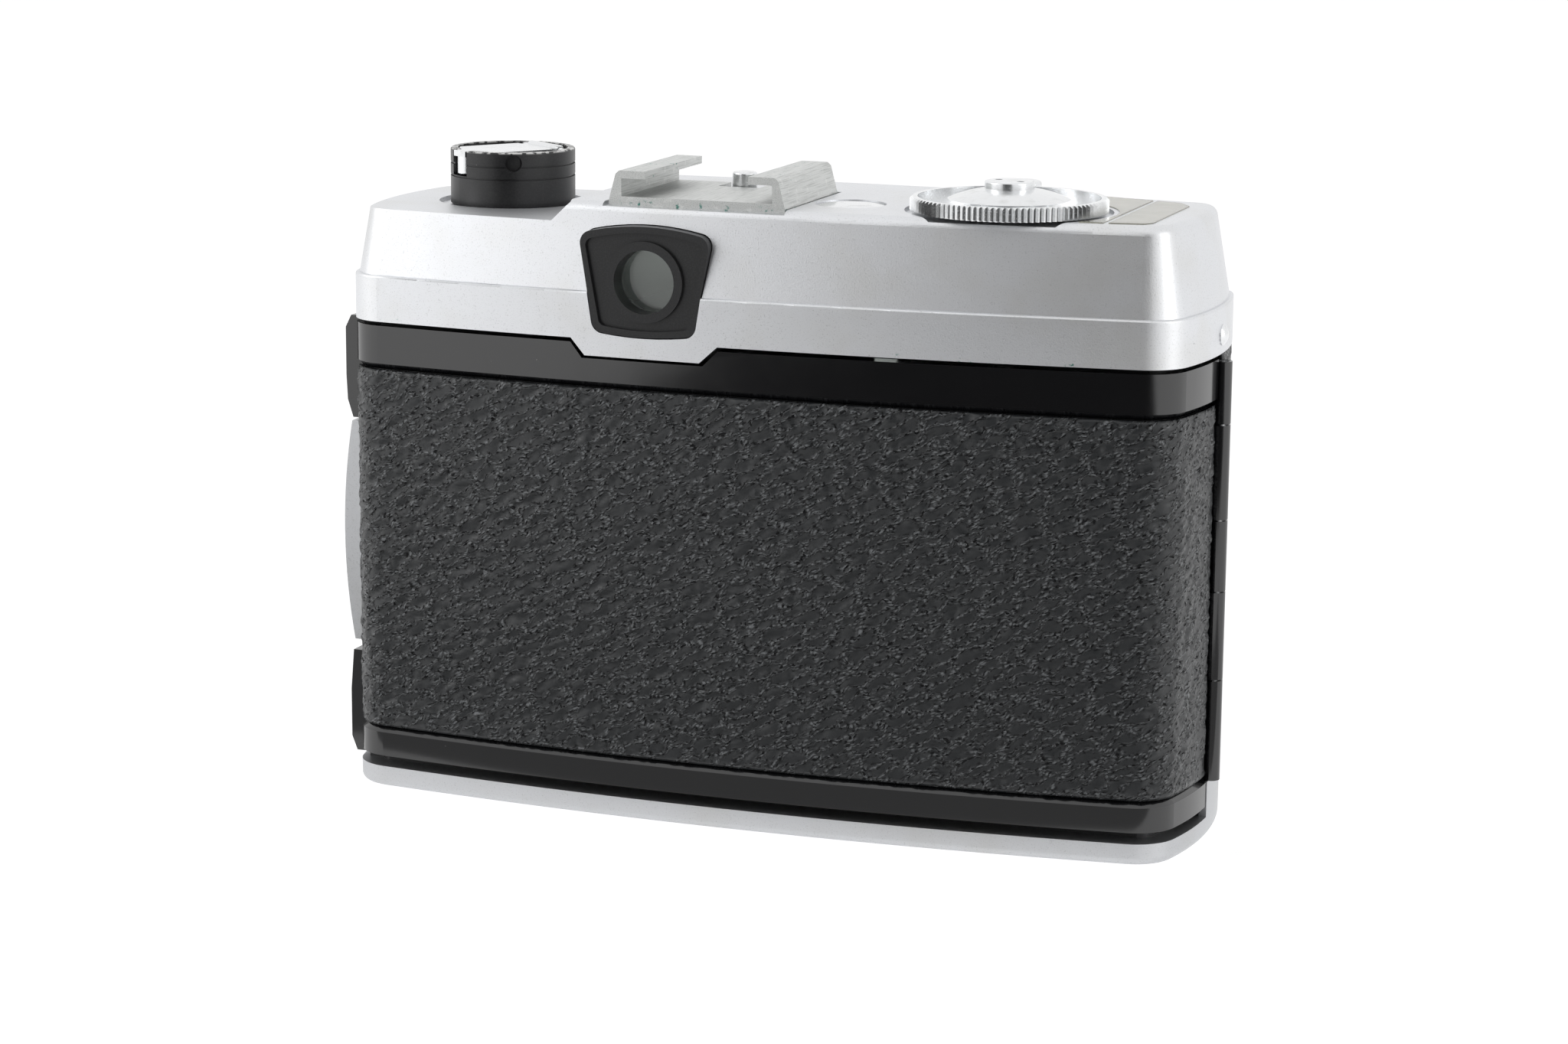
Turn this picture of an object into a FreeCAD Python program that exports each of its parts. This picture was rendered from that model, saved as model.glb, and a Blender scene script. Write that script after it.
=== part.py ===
"""Compact 35 mm film camera with a fixed lens: the whole mechanical assembly.

Frame: millimetres, +Z up, the back of the camera faces +Y, the lens looks along -Y and the
rewind knob stands at the +X end.  The origin is the mouth of the tripod socket.
"""
import FreeCAD, Part
import Sketcher
import math
import os

from FreeCAD import Placement, Rotation, Vector

doc = FreeCAD.newDocument("film_camera")
sheet = doc.addObject("Spreadsheet::Sheet", "Sizes")

# Driving dimensions, in millimetres, degrees and plain counts.
DIMENSIONS = [
    # body plan: a slab with gently bowed faces and rounded ends
    ("body_width", 106.0), ("body_depth", 36.0), ("face_radius", 385.0), ("end_radius", 46.6),
    ("corner_radius", 5.4),
    # levels above the base
    ("base_thick", 2.6), ("skirt_top", 6.9), ("door_bottom", 3.9), ("door_top", 57.3),
    ("band_bottom", 7.6), ("band_top", 52.0), ("cover_bottom", 57.8), ("cover_step", 63.4),
    ("cover_top", 73.7), ("low_deck", 71.2),
    # walls, skins and insets from the plan
    ("skin", 0.8), ("cast_inset", 0.95), ("door_inset", 0.1), ("door_wall", 2.3), ("fit_gap", 0.3),
    ("step_inset", 0.35), ("cover_taper", 10.0), ("cover_wall", 0.9), ("deck_wall", 1.7),
    ("deck_round", 1.3), ("part_gap", 0.2), ("run_gap", 0.05),
    # tripod socket
    ("socket_bore", 2.75), ("socket_radius", 6.0), ("socket_depth", 5.6), ("screw_radius", 1.6),
    # film path
    ("film_plane", 12.2), ("gate_width", 36.0), ("gate_height", 24.0), ("axis_height", 32.5),
    ("chamber_bottom", 6.6), ("chamber_top", 55.2), ("cassette_radius", 13.2),
    ("spool_x", -40.3), ("spool_y", -4.5), ("spool_radius", 6.6),
    # hinge and latch
    ("hinge_y", -0.4), ("hinge_radius", 1.1), ("hinge_pin_radius", 0.5), ("leaf_thick", 0.75),
    ("door_edge_hinge", 0.9), ("door_edge_latch", 11.4), ("latch_bottom", 17.4), ("latch_top", 44.8),
    ("latch_pivot_x", 52.6), ("latch_pivot_y", -0.6), ("latch_barrel", 1.0), ("latch_bulge", 78.8),
    # eyepiece and finder
    ("eye_x", 11.65), ("eye_z", 64.8), ("eye_ring", 4.78), ("eye_glass", 3.75),
    ("eye_top_half", 8.2), ("eye_foot_half", 6.35), ("eye_face", 17.6),
    # accessory shoe
    ("shoe_x", 6.45), ("shoe_rear", 14.2), ("shoe_length", 18.7), ("shoe_inner", 18.7),
    ("shoe_mouth", 12.8), ("shoe_outer", 21.9), ("shoe_floor", 1.1), ("shoe_channel", 2.1),
    ("shoe_lip", 0.9), ("shoe_sink", 0.5),
    # rewind knob and crank
    ("knob_x", 36.4), ("knob_y", -1.5), ("knob_radius", 7.6), ("knob_top", 77.7),
    ("knob_turn", 54.0), ("knob_dish", 9.0), ("crank_radius", 6.5), ("crank_width", 8.4),
    ("crank_pivot", -4.6), ("grip_radius", 1.35), ("shaft_radius", 1.8), ("sleeve_radius", 2.9),
    # advance wheel
    ("wheel_x", -28.6), ("wheel_y", 4.8), ("wheel_radius", 11.5), ("wheel_bottom", 73.75),
    ("wheel_top", 75.35), ("wheel_teeth", 102), ("wheel_rim", 0.9), ("well_radius", 12.1),
    ("cap_radius", 7.3), ("sprocket_radius", 5.6),
    # buttons
    ("button_x", -9.65), ("button_y", 5.7), ("button_radius", 4.15),
    ("release_x", -25.5), ("release_y", -11.0), ("release_radius", 2.4), ("collar_radius", 3.4),
    # lens, measured forward from the front of the body
    ("mount_radius", 24.2), ("mount_front", -19.8), ("core_radius", 19.6), ("speed_radius", 23.8),
    ("aperture_radius", 22.4), ("focus_radius", 23.6), ("barrel_radius", 17.2), ("bell_radius", 22.8),
    ("filter_radius", 21.1), ("filter_depth", 2.0), ("cell_radius", 20.3), ("speed_front", -25.0), ("aperture_front", -29.0),
    ("focus_front", -36.0), ("bell_front", -41.0),
]
for row, (alias, amount) in enumerate(DIMENSIONS, start=1):
    sheet.set(f"A{row}", alias.replace("_", " "))
    sheet.set(f"B{row}", str(amount))
    sheet.setAlias(f"B{row}", alias)
doc.recompute()


class Size:
    """A driving dimension, or sums and products of them, as sheet expression and as number."""

    def __init__(self, text, value):
        self.text, self.value = text, value

    @staticmethod
    def of(other):
        return other if isinstance(other, Size) else Size(f"({float(other):.6g})", float(other))

    def __add__(self, other):
        other = Size.of(other)
        return Size(f"({self.text} + {other.text})", self.value + other.value)

    def __sub__(self, other):
        other = Size.of(other)
        return Size(f"({self.text} - {other.text})", self.value - other.value)

    def __mul__(self, other):
        other = Size.of(other)
        return Size(f"({self.text} * {other.text})", self.value * other.value)

    def __truediv__(self, other):
        other = Size.of(other)
        return Size(f"({self.text} / {other.text})", self.value / other.value)

    def __neg__(self):
        return Size.of(-1) * self

    __radd__ = __add__

    def __rsub__(self, other):
        return Size.of(other) - self

    __rmul__ = __mul__


D = {alias: Size(f"Sizes.{alias}", float(amount)) for alias, amount in DIMENSIONS}
NODES = {}


def number(amount):
    return Size.of(amount).value


def bind(thing, path, amount):
    """Tie one property of an object to the sheet."""
    if isinstance(amount, Size):
        thing.setExpression(path, amount.text)
    else:
        thing.setExpression(path, None)
        setattr(thing, path, amount)


def place(thing, x, y, z, rotation=Rotation()):
    thing.Placement = Placement(Vector(number(x), number(y), number(z)), rotation)
    for axis, amount in zip("xyz", (x, y, z)):
        if isinstance(amount, Size):
            thing.setExpression(f"Placement.Base.{axis}", amount.text)
    return thing


def node(name, thing):
    """Name a finished sub-part; its label names its file."""
    thing.Label = name
    NODES[name] = thing
    return thing


# ---- plain solids ----------------------------------------------------------------------------
ALONG_X = Rotation(Vector(0, 1, 0), 90)
FORWARD = Rotation(Vector(1, 0, 0), 90)


def box(x, y, z):
    solid = doc.addObject("Part::Box", "block")
    for path, (low, high) in zip(("Length", "Width", "Height"), (x, y, z)):
        bind(solid, path, Size.of(high) - low)
    return place(solid, x[0], y[0], z[0])


def upright(x, y, z, radius):
    """A cylinder that stands on z[0] and ends at z[1]."""
    solid = doc.addObject("Part::Cylinder", "round")
    bind(solid, "Radius", Size.of(radius))
    bind(solid, "Height", Size.of(z[1]) - z[0])
    return place(solid, x, y, z[0])


def lying(x, y, z, radius):
    """A cylinder along Y from y[0] forward to y[1]."""
    solid = doc.addObject("Part::Cylinder", "round")
    bind(solid, "Radius", Size.of(radius))
    bind(solid, "Height", Size.of(y[0]) - y[1])
    return place(solid, x, y[0], z, FORWARD)


def across(x, y, z, radius):
    """A cylinder along X from x[0] to x[1]."""
    solid = doc.addObject("Part::Cylinder", "round")
    bind(solid, "Radius", Size.of(radius))
    bind(solid, "Height", Size.of(x[1]) - x[0])
    return place(solid, x[0], y, z, ALONG_X)


def frustum(x, y, z, foot, top):
    solid = doc.addObject("Part::Cone", "taper")
    bind(solid, "Radius1", Size.of(foot))
    bind(solid, "Radius2", Size.of(top))
    bind(solid, "Height", Size.of(z[1]) - z[0])
    return place(solid, x, y, z[0])


def ball(x, y, z, radius):
    solid = doc.addObject("Part::Sphere", "ball")
    bind(solid, "Radius", Size.of(radius))
    return place(solid, x, y, z)


def fuse(*solids):
    joined = doc.addObject("Part::MultiFuse", "joined")
    joined.Shapes = list(solids)
    joined.Refine = True
    return joined


def cut(base, *tools):
    result = base
    for tool in tools:
        step = doc.addObject("Part::Cut", "cut")
        step.Base, step.Tool = result, tool
        step.Refine = True
        result = step
    return result


def common(*solids):
    shared = doc.addObject("Part::MultiCommon", "shared")
    shared.Shapes = list(solids)
    return shared


def tube(x, y, z, outer, inner):
    return cut(upright(x, y, z, outer), upright(x, y, (Size.of(z[0]) - 1, Size.of(z[1]) + 1), inner))


def ring(x, y, z, outer, inner):
    """A ring whose axis lies along Y."""
    return cut(lying(x, y, z, outer), lying(x, (Size.of(y[0]) + 1, Size.of(y[1]) - 1), z, inner))


def rounded(thing, radius, chosen):
    """Fillet the edges that chosen() picks."""
    doc.recompute()
    solid = doc.addObject("Part::Fillet", "rounded")
    solid.Base = thing
    solid.Edges = [(index, radius, radius)
                   for index, edge in enumerate(thing.Shape.Edges, start=1) if chosen(edge)]
    return solid


def bevelled(thing, width, chosen):
    doc.recompute()
    solid = doc.addObject("Part::Chamfer", "bevelled")
    solid.Base = thing
    solid.Edges = [(index, width, width)
                   for index, edge in enumerate(thing.Shape.Edges, start=1) if chosen(edge)]
    return solid


def at_height(level):
    return lambda edge: all(abs(vertex.Z - number(level)) < 1e-4 for vertex in edge.Vertexes) and \
        abs(edge.CenterOfMass.z - number(level)) < 1e-4


def at_depth(level):
    return lambda edge: all(abs(vertex.Y - number(level)) < 1e-4 for vertex in edge.Vertexes) and \
        abs(edge.CenterOfMass.y - number(level)) < 1e-4


# ---- sketched solids -------------------------------------------------------------------------
PLANES = {"XY": "XY_Plane", "XZ": "XZ_Plane"}


def sketch_on(body, plane, level):
    """A sketch on one of the body's own origin planes, lifted to level."""
    sketch = body.newObject("Sketcher::SketchObject", "outline")
    support = [f for f in body.Origin.OriginFeatures if f.Role == PLANES[plane]][0]
    sketch.AttachmentSupport = [(support, "")]
    sketch.MapMode = "FlatFace"
    sketch.AttachmentOffset = Placement(Vector(0, 0, number(level)), Rotation())
    if isinstance(level, Size):
        sketch.setExpression("AttachmentOffset.Base.z", level.text)
    return sketch


def datum(sketch, kind, first, second, amount, name):
    """A driven distance from the sketch origin to a point, whichever side it is on."""
    amount = Size.of(amount)
    if amount.value < 0:
        first, second, amount = second, first, -amount
    index = sketch.addConstraint(Sketcher.Constraint(kind, *first, *second, amount.value))
    sketch.renameConstraint(index, name)
    sketch.setExpression(f".Constraints.{name}", amount.text)


def size_radius(sketch, curve, amount, name):
    amount = Size.of(amount)
    index = sketch.addConstraint(Sketcher.Constraint("Radius", curve, amount.value))
    sketch.renameConstraint(index, name)
    sketch.setExpression(f".Constraints.{name}", amount.text)


def plan_outline(sketch, inset):
    """The camera's plan, moved inwards by inset: two bowed faces, two round ends, four corners."""
    face = D["face_radius"] - inset
    end = D["end_radius"] - inset
    corner = D["corner_radius"] - inset
    face_rise = D["face_radius"] - D["body_depth"] / 2
    end_rise = D["body_width"] / 2 - D["end_radius"]
    r_face, r_end, r_corner = face.value, end.value, corner.value
    a, b = face_rise.value, end_rise.value
    # centre of the corner round at +X, +Y: it touches both big arcs from inside
    span = math.hypot(a, b)
    far, near = r_face - r_corner, r_end - r_corner
    along = (far ** 2 - near ** 2 + span ** 2) / (2 * span)
    off = math.sqrt(far ** 2 - along ** 2)
    ux, uy = b / span, a / span
    cx, cy = ux * along + uy * off, -a + uy * along - ux * off
    face_turn = math.atan2(cy + a, cx)
    end_turn = math.atan2(cy, cx - b)

    def arc(x, y, radius, start, stop):
        return sketch.addGeometry(Part.ArcOfCircle(
            Part.Circle(Vector(x, y, 0), Vector(0, 0, 1), radius), start, stop), False)

    back = arc(0, -a, r_face, face_turn, math.pi - face_turn)
    left = arc(-cx, cy, r_corner, math.pi - face_turn, math.pi - end_turn)
    left_end = arc(-b, 0, r_end, math.pi - end_turn, math.pi + end_turn)
    left_front = arc(-cx, -cy, r_corner, math.pi + end_turn, math.pi + face_turn)
    front = arc(0, a, r_face, math.pi + face_turn, 2 * math.pi - face_turn)
    right_front = arc(cx, -cy, r_corner, -face_turn, -end_turn)
    right_end = arc(b, 0, r_end, -end_turn, end_turn)
    right = arc(cx, cy, r_corner, end_turn, face_turn)
    loop = [back, left, left_end, left_front, front, right_front, right_end, right]
    for first, second in zip(loop, loop[1:] + loop[:1]):
        sketch.addConstraint(Sketcher.Constraint("Tangent", first, 2, second, 1))
    for index, curve in enumerate((left, left_front, right_front, right)):
        size_radius(sketch, curve, corner, f"corner_{index}")
    for curve, x, y, radius, name in ((back, 0, -face_rise, face, "back"),
                                      (front, 0, face_rise, face, "front"),
                                      (left_end, -end_rise, 0, end, "left"),
                                      (right_end, end_rise, 0, end, "right")):
        size_radius(sketch, curve, radius, name + "_radius")
        datum(sketch, "DistanceX", (-1, 1), (curve, 3), x, name + "_x")
        datum(sketch, "DistanceY", (-1, 1), (curve, 3), y, name + "_y")


def slab(inset, z, taper=None):
    """A solid with the camera's plan, inset all round, from z[0] to z[1]."""
    body = doc.addObject("PartDesign::Body", "slab")
    sketch = sketch_on(body, "XY", Size.of(z[0]))
    plan_outline(sketch, inset)
    pad = body.newObject("PartDesign::Pad", "pad")
    pad.Profile = sketch
    bind(pad, "Length", Size.of(z[1]) - z[0])
    if taper is not None:
        bind(pad, "TaperAngle", -taper)
    return body


def prism(plane, start, length, points):
    """A straight-sided solid: points are (right, up) on the plane, every one held by the sheet."""
    body = doc.addObject("PartDesign::Body", "prism")
    sketch = sketch_on(body, plane, start)
    corners = [Vector(number(x), number(y), 0) for x, y in points]
    count = len(corners)
    for index in range(count):
        sketch.addGeometry(Part.LineSegment(corners[index], corners[(index + 1) % count]), False)
    for index in range(count):
        sketch.addConstraint(Sketcher.Constraint("Coincident", index, 2, (index + 1) % count, 1))
    for index, (x, y) in enumerate(points):
        datum(sketch, "DistanceX", (-1, 1), (index, 1), x, f"x_{index}")
        datum(sketch, "DistanceY", (-1, 1), (index, 1), y, f"y_{index}")
    pad = body.newObject("PartDesign::Pad", "pad")
    pad.Profile = sketch
    bind(pad, "Length", Size.of(length))
    return body


HALF_WIDTH = D["body_width"] / 2
HALF_DEPTH = D["body_depth"] / 2
WIDE = D["body_width"]
DEEP = D["body_depth"]


# ---- base ------------------------------------------------------------------------------------
BASE_SCREWS = ((-38, -7), (38, -7), (20, 11))


def make_base():
    """Pressed base plate with a skirt round the front and ends, socket bush and three screws."""
    tray = slab(0.0, (0, D["base_thick"]))
    tray = rounded(tray, 0.9, at_height(0))
    skirt = cut(slab(0.0, (D["base_thick"] - 0.2, D["skirt_top"])),
                slab(D["cast_inset"] - 0.05, (D["base_thick"], D["skirt_top"] + 1)),
                box((-WIDE, WIDE), (D["door_edge_hinge"] - D["part_gap"], DEEP), (D["base_thick"], 20)))
    plate = cut(fuse(tray, skirt),
                upright(0, 0, (-1, D["base_thick"] + 1), D["socket_radius"]))
    screws = []
    for index, (x, y) in enumerate(BASE_SCREWS, start=1):
        shank = upright(x, y, (0.3, D["base_thick"] + 4), D["screw_radius"] * 0.6)
        head = frustum(x, y, (0.1, 1.5), D["screw_radius"] * 1.6, D["screw_radius"] * 0.6)
        slot = box((x - 4, x + 4), (y - 0.3, y + 0.3), (-1, 0.7))
        screws.append(fuse(shank, head))
        node(f"base_screw_{index}", cut(screws[-1], slot))
        clear = fuse(upright(x, y, (0.3, D["base_thick"] + 4), D["screw_radius"] * 0.6),
                     frustum(x, y, (0.1, 1.5), D["screw_radius"] * 1.6, D["screw_radius"] * 0.6),
                     upright(x, y, (-1, 0.1), D["screw_radius"] * 1.6))
        plate = cut(plate, clear)
    node("base_plate", plate)
    node("tripod_socket", cut(upright(0, 0, (0, D["socket_depth"]), D["socket_radius"]),
                              upright(0, 0, (-1, D["socket_depth"] - 0.8), D["socket_bore"])))


# ---- body casting ----------------------------------------------------------------------------
COUNTER_X, COUNTER_Y = -44.0, 1.0
HOUSING_BACK = -13.0
FORK_RADIUS = 3.4
KNUCKLES = (57.0, 49.55, 38.25, 29.75, 19.15, 6.95)
KNUCKLE_GAP = 0.08
HINGE_X = -(HALF_WIDTH + 0.1)
LEAF_SINK = 1.4
LEAF_X = (-(HALF_WIDTH - LEAF_SINK), -(HALF_WIDTH - LEAF_SINK - D["leaf_thick"]))
LEAF_REACH = 6.0


def hinge_leaf(first, side):
    """Every second knuckle with its leaf: side +1 is the door's, -1 the body's."""
    pieces = leaf_plates(first, side)
    for index in range(first, 5, 2):
        z = (KNUCKLES[index + 1] + KNUCKLE_GAP, KNUCKLES[index] - KNUCKLE_GAP)
        pieces.append(upright(HINGE_X, D["hinge_y"], z, D["hinge_radius"]))
        web = sorted((D["hinge_y"], D["hinge_y"] + side * 1.1), key=number)
        pieces.append(box((HINGE_X, LEAF_X[1]), web, z))
    leaf = fuse(*pieces)
    play = D["run_gap"] if side > 0 else 0
    bore = upright(HINGE_X, D["hinge_y"], (0, D["cover_bottom"] + 2), D["hinge_pin_radius"] + play)
    return cut(leaf, bore)


def leaf_plates(first, side):
    """The flat of a leaf: a tab behind each of its knuckles and one long plate let into the wall."""
    plates = []
    last = range(first, 5, 2)[-1]
    spans = [(index + 1, index, 0.5, 1.6) for index in range(first, 5, 2)]
    for lower, upper, near, far in spans + [(last + 1, first, 1.4, LEAF_REACH)]:
        z = (KNUCKLES[lower] + KNUCKLE_GAP, KNUCKLES[upper] - KNUCKLE_GAP)
        y = sorted((D["hinge_y"] + side * near, D["hinge_y"] + side * far), key=number)
        plates.append(box(LEAF_X, y, z))
    return plates


def make_body():
    """Die-cast body: front and ends, two film chambers, light tunnel, gate and film rails."""
    bottom, top = D["base_thick"], D["cover_bottom"]
    inner = D["door_inset"] + D["door_wall"] + D["fit_gap"]
    shell = cut(slab(D["cast_inset"], (bottom, top)),
                box((-WIDE, 0), (D["hinge_y"] - 1.3, DEEP), (0, 80)),
                box((-1, WIDE), (D["door_edge_latch"] - D["part_gap"], DEEP), (0, 80)))
    core = cut(slab(inner, (bottom, top)), box((-WIDE, WIDE), (D["film_plane"], DEEP), (0, 80)))
    block = fuse(shell, core)
    for z in (16.0, 47.6):
        block = fuse(block, box((-22, 22), (D["film_plane"] - 0.5, D["film_plane"] + 0.6), (z, z + 1.4)))
    z_chamber = (D["chamber_bottom"], D["chamber_top"])
    wide_chamber = (D["knob_x"] - D["cassette_radius"], D["knob_x"] + D["cassette_radius"])
    cassette = fuse(upright(D["knob_x"], D["knob_y"], z_chamber, D["cassette_radius"]),
                    box(wide_chamber, (D["knob_y"], DEEP), z_chamber))
    take_up = box((D["spool_x"] - D["spool_radius"] - 0.9, D["wheel_x"] + D["sprocket_radius"] + 1.4),
                  (D["spool_y"] - 8.6, DEEP), z_chamber)
    gate_x = (D["gate_width"] / -2, D["gate_width"] / 2)
    gate_z = (D["axis_height"] - D["gate_height"] / 2, D["axis_height"] + D["gate_height"] / 2)
    tunnel = fuse(box(gate_x, (-6, DEEP), gate_z),
                  lying(0, (-5, -DEEP), D["axis_height"], D["core_radius"] - 1.2),
                  lying(0, (HOUSING_BACK, -DEEP), D["axis_height"], D["core_radius"]))
    block = cut(block, cassette, take_up, tunnel,
                upright(0, 0, (0, D["socket_depth"]), D["socket_radius"]),
                upright(D["latch_pivot_x"], D["latch_pivot_y"],
                        (D["latch_bottom"] - 0.1, D["latch_top"] + 0.1), D["latch_barrel"] + 0.1),
                upright(D["knob_x"], D["knob_y"], (50, 60), FORK_RADIUS + 0.2),
                upright(D["wheel_x"], D["wheel_y"], (50, 60), 1.5 + D["run_gap"]),
                upright(D["wheel_x"], D["wheel_y"], (4.5, 10), 1.5 + D["run_gap"]),
                upright(D["spool_x"], D["spool_y"], (50, 60), 1.5 + D["run_gap"]),
                upright(D["spool_x"], D["spool_y"], (4.5, 10), 1.5 + D["run_gap"]),
                *leaf_plates(0, -1))
    for x, y in BASE_SCREWS:
        block = cut(block, upright(x, y, (0, bottom + 4), D["screw_radius"] * 0.6))
    lugs = []
    for z in ((D["latch_bottom"] - 2, D["latch_bottom"] - 0.15),
              (D["latch_top"] + 0.15, D["latch_top"] + 2)):
        lugs.append(box((HALF_WIDTH - 2, HALF_WIDTH + 0.4),
                        (D["latch_pivot_y"] - 0.9, D["latch_pivot_y"] + 0.9), z))
    top_posts = [cut(post, bore) for post, bore in (
        (upright(D["button_x"], D["button_y"], (top - 0.5, D["cover_top"] - 3.6), 3.0),
         upright(D["button_x"], D["button_y"], (top - 3, 90), 1.6 + D["run_gap"])),
        (upright(D["release_x"], D["release_y"], (top - 0.5, 66), 3.0),
         upright(D["release_x"], D["release_y"], (top - 3, 90), 1.1 + D["run_gap"])),
        (upright(COUNTER_X, COUNTER_Y, (top - 0.5, 68), 3.2),
         upright(COUNTER_X, COUNTER_Y, (66.4, 90), 1.4 + D["run_gap"])))]
    block = fuse(block, *lugs, *top_posts)
    node("body_casting", cut(block, upright(D["latch_pivot_x"], D["latch_pivot_y"],
                                            (D["latch_bottom"] - 1.5, D["latch_top"] + 1.5), 0.45)))
    node("body_hinge_leaf", hinge_leaf(0, -1))
    node("hinge_pin", upright(HINGE_X, D["hinge_y"], (KNUCKLES[-1] + 0.1, KNUCKLES[0] - 0.1),
                              D["hinge_pin_radius"]))

    skin = cut(slab(D["cast_inset"] - D["skin"], (D["skirt_top"] + 0.1, top - 0.1)),
               slab(D["cast_inset"], (0, 80)),
               box((-WIDE, 0), (D["hinge_y"] - 1.5, DEEP), (0, 80)),
               box((-1, WIDE), (D["latch_pivot_y"] - D["latch_barrel"] - 0.4, DEEP), (0, 80)),
               lying(0, (0, -DEEP), D["axis_height"], D["mount_radius"] + 0.1))
    node("body_leatherette", skin)


# ---- latch -----------------------------------------------------------------------------------
def make_latch():
    """Bowed latch on a vertical pin, and the black guards above and below it."""
    z = (D["latch_bottom"], D["latch_top"])
    middle = (D["latch_bottom"] + D["latch_top"]) / 2
    rear = D["door_edge_latch"] - 0.1
    bulge = lying(HALF_WIDTH + 0.4 - D["latch_bulge"], (rear + 2, -6), middle, D["latch_bulge"])
    bulge.Placement = Placement(bulge.Placement.Base, Rotation(Vector(0, 0, 1), 3) * FORWARD)
    plate = cut(common(box((HALF_WIDTH - 3, HALF_WIDTH + 3), (D["latch_pivot_y"], rear), z), bulge),
                slab(D["cast_inset"] - 0.1, (0, 80)))
    barrel = upright(D["latch_pivot_x"], D["latch_pivot_y"], z, D["latch_barrel"])
    bore = upright(D["latch_pivot_x"], D["latch_pivot_y"], (0, 80), 0.45 + D["run_gap"])
    node("door_latch", cut(fuse(plate, barrel), bore))
    node("latch_pin", upright(D["latch_pivot_x"], D["latch_pivot_y"],
                              (D["latch_bottom"] - 1.5, D["latch_top"] + 1.5), 0.45))
    edge, head, foot = HALF_WIDTH, D["latch_top"], D["latch_bottom"]
    top, bottom = D["cover_bottom"], D["base_thick"]
    for name, outline in (
            ("latch_guard_upper", ((edge - 3, top), (edge - 0.6, top), (edge + 0.15, top - 1.5),
                                   (edge + 0.15, head + 5.6), (edge, head + 2.6),
                                   (edge - 0.7, head + 0.4), (edge - 3, head + 0.4))),
            ("latch_guard_lower", ((edge - 3, bottom + 0.6), (edge - 0.6, bottom + 0.6),
                                   (edge + 0.1, bottom + 2.4), (edge + 0.1, foot - 6.4),
                                   (edge - 0.3, foot - 1.4), (edge - 3, foot - 1.4)))):
        bar = prism("XZ", -(D["door_edge_latch"] - D["part_gap"]), 5.6, outline)
        node(name, cut(bar, slab(D["cast_inset"], (0, 80))))


# ---- back door -------------------------------------------------------------------------------
def tongue_outline(grow, top, dip):
    """The shallow dip in the cover's rear edge below the eyepiece, and its match in the door."""
    return ((D["eye_x"] + 9.45 + grow, top), (D["eye_x"] + 7.5 + grow, dip),
            (D["eye_x"] - 7.05 - grow, dip), (D["eye_x"] - 9.5 - grow, top))


DIP = D["cover_bottom"] - 2.0


def make_door():
    """Door shell that wraps both rear corners, its covering, pressure plate and spring."""
    z = (D["door_bottom"], D["door_top"])
    core = slab(D["door_inset"] + D["skin"], z)
    upper = bevelled(slab(D["door_inset"], (D["band_top"], D["door_top"])), 0.7, at_height(D["band_top"]))
    lower = bevelled(slab(D["door_inset"], (D["door_bottom"], D["band_bottom"])), 0.75,
                     at_height(D["band_bottom"]))
    ends = (box((-WIDE, 0), (-DEEP, D["door_edge_hinge"]), (0, 80)),
            box((-1, WIDE), (-DEEP, D["door_edge_latch"]), (0, 80)))
    tongue = prism("XZ", -(HALF_DEPTH + 2), 6, tongue_outline(0.4, D["door_top"] + 0.6, DIP - 0.35))
    shell = cut(fuse(core, upper, lower), slab(D["door_inset"] + D["door_wall"], (0, 80)), *ends,
                tongue, *leaf_plates(1, 1))
    node("back_door", shell)
    skin_ends = (box((-WIDE, 0), (-DEEP, D["door_edge_hinge"] + 0.3), (0, 80)),
                 box((-1, WIDE), (-DEEP, D["door_edge_latch"] + 0.3), (0, 80)))
    node("door_leatherette", cut(slab(D["door_inset"] + 0.1, (D["band_bottom"] - 0.6, D["band_top"] + 0.6)),
                                 slab(D["door_inset"] + D["skin"], (0, 80)), *skin_ends,
                                 bevel_room(D["band_bottom"], 1), bevel_room(D["band_top"], -1)))
    node("door_hinge_leaf", hinge_leaf(1, 1))

    plate_y = (D["film_plane"] + 0.9, D["film_plane"] + 1.9)
    half = D["gate_width"] / 2 + 8
    plate = box((-half, half), plate_y, (D["axis_height"] - 17, D["axis_height"] + 17))
    plate = rounded(plate, 2.5, lambda e: abs(e.Length - 1.0) < 1e-6)
    inner_face = slab(D["door_inset"] + D["door_wall"], (0, 80))
    posts = [common(lying(x, (HALF_DEPTH, plate_y[1] - 0.2), D["axis_height"], 1.2), inner_face)
             for x in (-8, 8)]
    node("pressure_plate", fuse(plate, *posts))
    bow, reach = 200.0, 15.45
    leaf = cut(upright(0, reach - bow, (D["axis_height"] - 3.5, D["axis_height"] + 3.5), bow),
               upright(0, reach - bow, (D["axis_height"] - 4, D["axis_height"] + 4), bow - 0.4))
    leaf = common(leaf, box((-19.5, 19.5), (plate_y[1], reach + 1),
                            (D["axis_height"] - 3.5, D["axis_height"] + 3.5)))
    holes = [lying(x, (reach + 1, 10), D["axis_height"], 1.3) for x in (-8, 8)]
    node("pressure_spring", cut(leaf, *holes))


def bevel_room(level, side):
    """The strip that a band's bevel leaves to the band, outside the covering."""
    return slab(-1.0, tuple(sorted((level + side * 0.05, level - side * 2.0), key=number)))


# ---- top cover -------------------------------------------------------------------------------
RAMP_FOOT = 24.2
RAMP_HEAD = 22.0


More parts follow.
